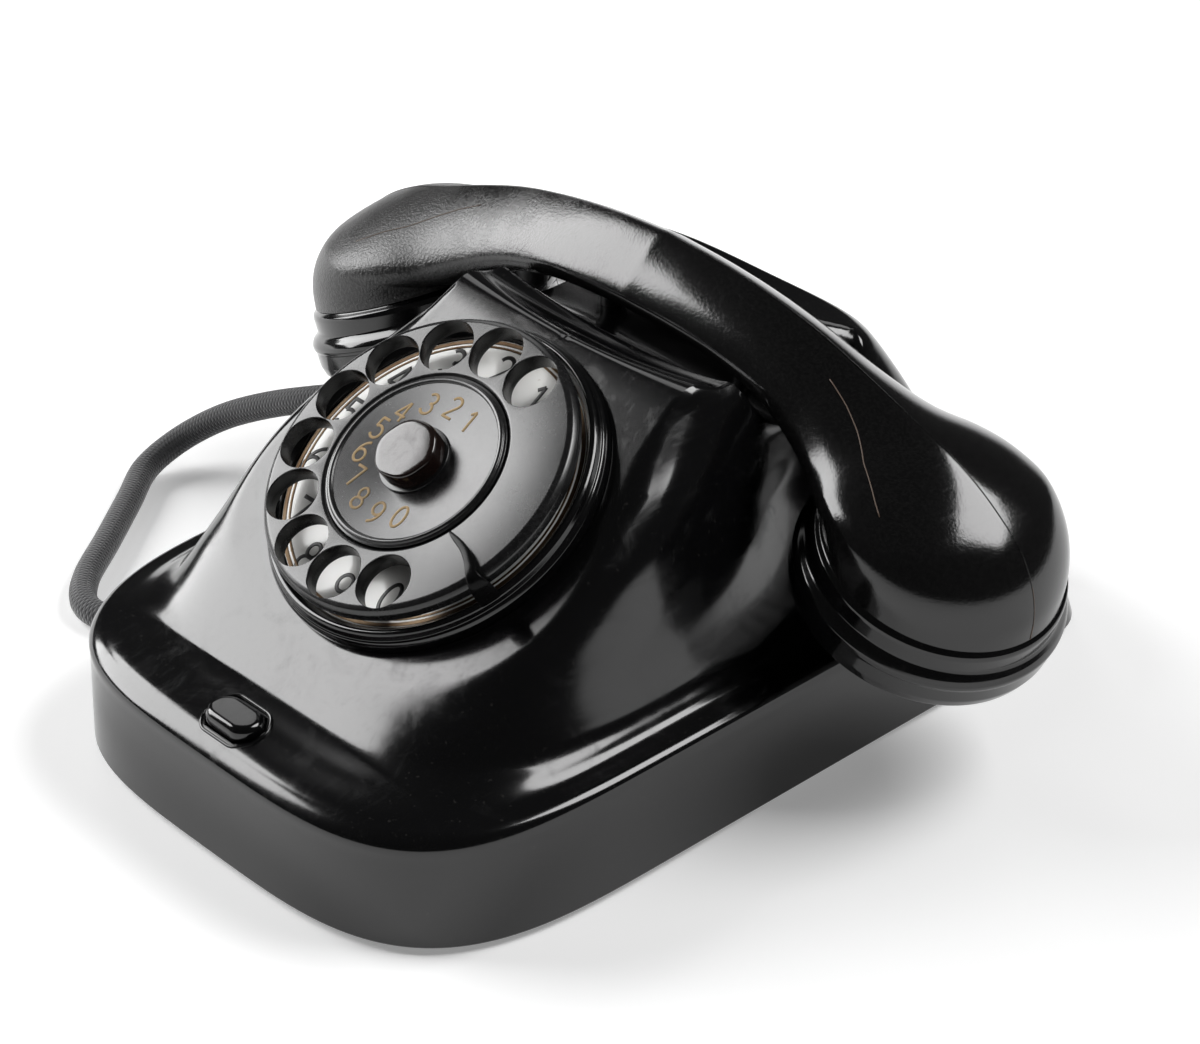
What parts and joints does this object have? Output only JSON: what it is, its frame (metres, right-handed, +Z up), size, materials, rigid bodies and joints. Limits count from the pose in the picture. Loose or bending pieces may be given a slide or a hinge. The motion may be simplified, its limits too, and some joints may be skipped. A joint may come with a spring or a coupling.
{
  "type": "telephone",
  "caption": "Rotary dial desk telephone in black phenolic with a cradled handset, braided handset cord and front button.",
  "frame": {"origin": "middle of the case's footprint, on the table", "axes": "+Z up, +X to the user's right along the handset, the dial and front button face -Y"},
  "size_m": [0.2821, 0.2491, 0.1024],
  "materials": {
    "bakelite": "polished black phenolic, finely scratched",
    "bakelite_satin": "black phenolic worn to satin",
    "dial_black": "glossy black lacquer on brass, fine scratches",
    "stop_black": "black lacquered steel",
    "enamel": "white vitreous enamel",
    "steel": "zinc plated, dull",
    "gong_steel": "nickel plated, slightly dull",
    "brass": "turned brass, slightly tarnished",
    "copper_winding": "varnished cotton tape over copper windings",
    "rubber_black": "matt black rubber",
    "ebonite": "black ebonite",
    "tinplate": "grey lacquered tinplate",
    "cord_cloth": "black braided textile"
  },
  "bodies": {
    "case": {"case_shell": "bakelite", "base_plate": "steel", "base_screws": "steel", "rubber_feet": "rubber_black", "dial_ring": "bakelite", "number_plate": "enamel", "finger_stop": "stop_black", "dial_frame": "steel", "governor_cup": "brass", "impulse_contacts": "brass", "hook_bracket": "steel", "hook_axle": "steel", "hook_contacts": "brass", "button_spring": "steel", "button_contacts": "brass", "ringer_frame": "steel", "ringer_coils": "copper_winding", "ringer_yoke": "steel", "clapper_pin": "steel", "gong_left": "gong_steel", "gong_right": "gong_steel", "gong_screws": "brass", "induction_coil": "copper_winding", "capacitor": "tinplate", "terminal_block": "ebonite", "line_inlet": "ebonite", "cord_gland_case": "ebonite", "handset_cord": "cord_cloth", "cord_coil": "cord_cloth", "cord_tail": "cord_cloth", "dial_spring": "steel"},
    "dial": {"finger_wheel": "dial_black", "number_disc": "dial_black", "center_knob": "bakelite", "dial_shaft": "steel", "main_gear": "brass"},
    "spindle": {"speed_gear": "brass", "impulse_cam": "ebonite"},
    "governor": {"governor": "steel"},
    "handset": {"handset_body": "bakelite_satin", "mouthpiece_cap": "bakelite", "earpiece_cap": "bakelite", "transmitter_capsule": "tinplate", "receiver_capsule": "tinplate", "cord_gland_handset": "ebonite"},
    "plunger_left": {"plunger_left": "ebonite"},
    "plunger_right": {"plunger_right": "ebonite"},
    "hook_lever": {"hook_lever": "steel"},
    "button": {"front_button": "bakelite"},
    "clapper": {"clapper": "brass"}
  },
  "joints": [
    {"name": "dial_rotation", "type": "hinge", "parent": "case", "child": "dial", "pos_m": [0, -0.0465, 0.076], "axis": [0, -0.5329, 0.8462], "range_deg": [-312, 0], "stiffness_Nm_per_rad": 0.02, "springref_deg": 34.38},
    {"name": "spindle_rotation", "type": "hinge", "parent": "case", "child": "spindle", "pos_m": [-0.01917, -0.04175, 0.05536], "axis": [0, -0.5329, 0.8462], "range_deg": [-1, 1249]},
    {"name": "governor_rotation", "type": "hinge", "parent": "case", "child": "governor", "pos_m": [-0.02744, -0.04296, 0.05164], "axis": [0.342, -0.7952, -0.5007], "range_deg": [-14980, 2]},
    {"name": "handset_lift", "type": "slide", "parent": "case", "child": "handset", "axis": [0, 0, 1], "range_m": [0, 0.06]},
    {"name": "plunger_left_rise", "type": "slide", "parent": "case", "child": "plunger_left", "axis": [0, 0, 1], "range_m": [0, 0.004]},
    {"name": "plunger_right_rise", "type": "slide", "parent": "case", "child": "plunger_right", "axis": [0, 0, 1], "range_m": [0, 0.004]},
    {"name": "hook_tilt", "type": "hinge", "parent": "case", "child": "hook_lever", "pos_m": [0, 0.009, 0.05], "axis": [1, 0, 0], "range_deg": [0, 8]},
    {"name": "button_press", "type": "slide", "parent": "case", "child": "button", "axis": [0, 0, 1], "range_m": [-0.002, 0], "stiffness_N_per_m": 150, "springref_m": 0.002, "deforming": ["button_spring"]},
    {"name": "clapper_swing", "type": "hinge", "parent": "case", "child": "clapper", "pos_m": [0, 0.036, 0.0148], "axis": [0, 0, 1], "range_deg": [-4.2, 4.2]}
  ],
  "couplings": [
    {"joint": "spindle_rotation", "follows": "dial_rotation", "ratio": -4},
    {"joint": "governor_rotation", "follows": "dial_rotation", "ratio": 48},
    {"joint": "plunger_left_rise", "follows": "handset_lift", "ratio": 0.0666},
    {"joint": "plunger_right_rise", "follows": "handset_lift", "ratio": 0.0666},
    {"joint": "hook_tilt", "follows": "handset_lift", "rad_per_m": 2.3}
  ]
}
